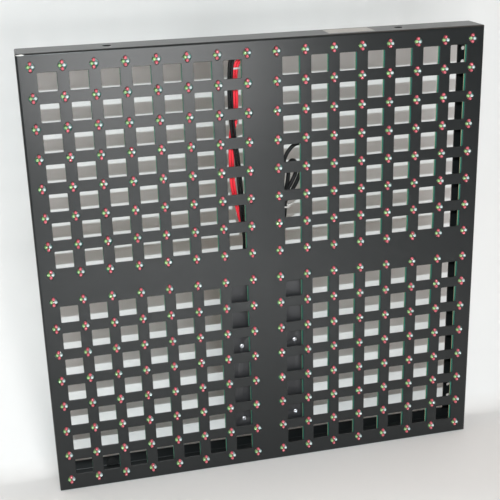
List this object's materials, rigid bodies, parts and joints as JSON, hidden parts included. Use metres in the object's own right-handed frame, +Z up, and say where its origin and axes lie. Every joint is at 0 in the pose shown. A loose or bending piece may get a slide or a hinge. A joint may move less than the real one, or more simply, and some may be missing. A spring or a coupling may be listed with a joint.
{
  "type": "led dot matrix panel",
  "caption": "See-through LED dot matrix panel: black folded sheet grille tray with pixel clusters on slim board strips, a supply box and leads behind.",
  "frame": {"origin": "middle of the panel's width and depth, on its lower edge, so that it stands on its lower wall", "axes": "+X to the right across the face, +Y from the LED face towards the open back, +Z up"},
  "size_m": [0.4958, 0.042, 0.496],
  "materials": {
    "tray_paint": "black satin powder coat on folded steel sheet",
    "board": "glass-fibre board with green solder mask",
    "supply_board": "tan paper-laminate board",
    "red_lens": "red tinted LED epoxy",
    "green_lens": "green tinted LED epoxy",
    "clear_lens": "water-clear LED epoxy with a blue tint",
    "chip": "black moulded chip body",
    "pale_plastic": "natural nylon",
    "black_plastic": "black moulded plastic",
    "zinc": "bright zinc-plated steel",
    "brass": "turned brass",
    "box_paint": "black satin paint on folded steel sheet",
    "core": "dark ferrite",
    "can_sleeve": "dark blue shrink sleeve",
    "aluminium": "plain extruded aluminium",
    "header_grey": "grey moulded plastic",
    "ribbon": "grey ribbon insulation",
    "rubber": "black rubber",
    "red_wire": "red PVC insulation",
    "black_wire": "black PVC insulation",
    "white_nylon": "white nylon",
    "label": "blank pale paper label"
  },
  "bodies": {
    "root": {"housing": "tray_paint", "led_bar_01": "board", "led_bar_02": "board", "led_bar_03": "board", "led_bar_04": "board", "led_bar_05": "board", "led_bar_06": "board", "led_bar_07": "board", "led_bar_08": "board", "led_bar_09": "board", "led_bar_10": "board", "led_bar_11": "board", "led_bar_12": "board", "led_bar_13": "board", "led_bar_14": "board", "led_bar_15": "board", "led_bar_16": "board", "red_leds_upper": "red_lens", "red_leds_lower": "red_lens", "green_leds_upper": "green_lens", "green_leds_lower": "green_lens", "blue_leds_upper": "clear_lens", "blue_leds_lower": "clear_lens", "driver_chips": "chip", "bar_headers": "pale_plastic", "hub_sockets": "black_plastic", "hub_board": "board", "weld_studs": "zinc", "bar_spacers": "pale_plastic", "stud_nuts": "zinc", "standoffs": "brass", "rear_screws": "zinc", "box_base": "box_paint", "box_cover": "box_paint", "box_front_screws": "zinc", "board_spacers": "brass", "supply_board": "supply_board", "transformer": "core", "capacitors": "can_sleeve", "heat_sink": "aluminium", "terminal_block": "black_plastic", "receiver_board": "board", "receiver_parts": "chip", "ribbon_headers": "header_grey", "ribbon_plugs": "black_plastic", "ribbon_cable": "ribbon", "box_grommet": "rubber", "red_wire_1": "red_wire", "red_wire_2": "red_wire", "black_wire_1": "black_wire", "black_wire_2": "black_wire", "power_plug": "white_nylon", "data_lead": "black_wire", "data_plug": "black_plastic", "cable_ties": "white_nylon", "label": "label", "flange_grommet": "rubber"}
  },
  "joints": []
}
